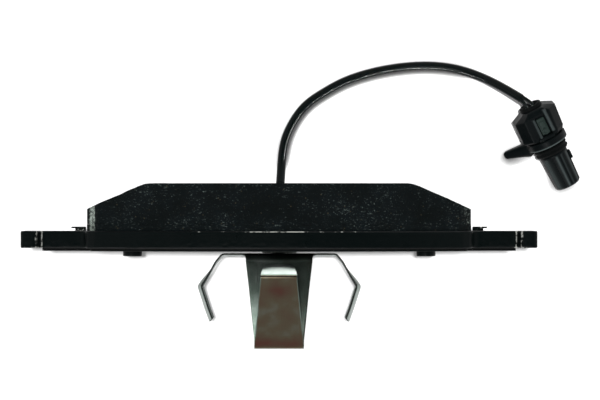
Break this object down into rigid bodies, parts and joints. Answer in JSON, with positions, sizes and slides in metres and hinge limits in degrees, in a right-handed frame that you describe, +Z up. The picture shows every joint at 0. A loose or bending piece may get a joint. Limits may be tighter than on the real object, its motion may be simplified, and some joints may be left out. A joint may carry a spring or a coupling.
{
  "type": "disc brake pad",
  "caption": "Inner disc brake pad with chamfered friction block, shimmed steel plate, riveted piston clip and plugged wear-sensor lead.",
  "frame": {"origin": "centre of the pad and clip's bounding box, on the surface that the pad's inner edge stands on; the lead and plug aren't counted", "axes": "+X along the pad's length, +Y from the backing plate to the brake disc, +Z up to the pad's outer edge"},
  "size_m": [0.1709, 0.088, 0.0664],
  "materials": {
    "plate_paint": "satin black stove paint on steel",
    "underlayer": "moulded bonding layer",
    "friction": "moulded friction compound, granular",
    "damping": "matt bonded rubber",
    "shim_paint": "matt black coating on steel",
    "spring_steel": "rolled and tempered",
    "zinc_steel": "zinc plated",
    "nylon": "moulded glass-filled nylon",
    "green_nylon": "moulded nylon",
    "seal_rubber": "moulded rubber",
    "cable_sheath": "extruded and smooth",
    "copper": "bare wire",
    "contact": "tinned"
  },
  "bodies": {
    "pad": {"backing_plate": "plate_paint", "friction_underlayer": "underlayer", "friction_block": "friction", "shim_damping_layer": "damping", "shim_plate": "shim_paint", "clip_base": "spring_steel", "clip_washer": "spring_steel", "clip_rivet": "zinc_steel", "sensor_housing": "nylon", "sensor_contact_loop": "copper", "sensor_sleeve": "seal_rubber", "cable": "cable_sheath", "core_wire_left": "cable_sheath", "core_wire_right": "cable_sheath", "connector_body": "nylon", "connector_lock_insert": "green_nylon", "connector_grommet": "seal_rubber", "connector_seal": "seal_rubber", "terminal_left": "contact", "terminal_right": "contact"},
    "finger_left": {"clip_finger_left": "spring_steel"},
    "finger_right": {"clip_finger_right": "spring_steel"},
    "tongue": {"clip_tongue": "spring_steel"},
    "ring": {"locking_ring": "nylon"}
  },
  "joints": [
    {"name": "finger_left_flex", "type": "hinge", "parent": "pad", "child": "finger_left", "pos_m": [-0.0162, 0.0036, 0.033], "axis": [0, 0, 1], "range_deg": [0, 8], "stiffness_Nm_per_rad": 3},
    {"name": "finger_right_flex", "type": "hinge", "parent": "pad", "child": "finger_right", "pos_m": [0.0162, 0.0036, 0.033], "axis": [0, 0, -1], "range_deg": [0, 8], "stiffness_Nm_per_rad": 3},
    {"name": "tongue_flex", "type": "hinge", "parent": "pad", "child": "tongue", "pos_m": [0, -0.02332, 0.04335], "axis": [-1, 0, 0], "range_deg": [0, 12], "stiffness_Nm_per_rad": 1},
    {"name": "ring_turn", "type": "hinge", "parent": "pad", "child": "ring", "pos_m": [0.08244, 0.0396, 0.0082], "axis": [-0.4438, 0.8674, 0.225], "range_deg": [0, 60]}
  ]
}
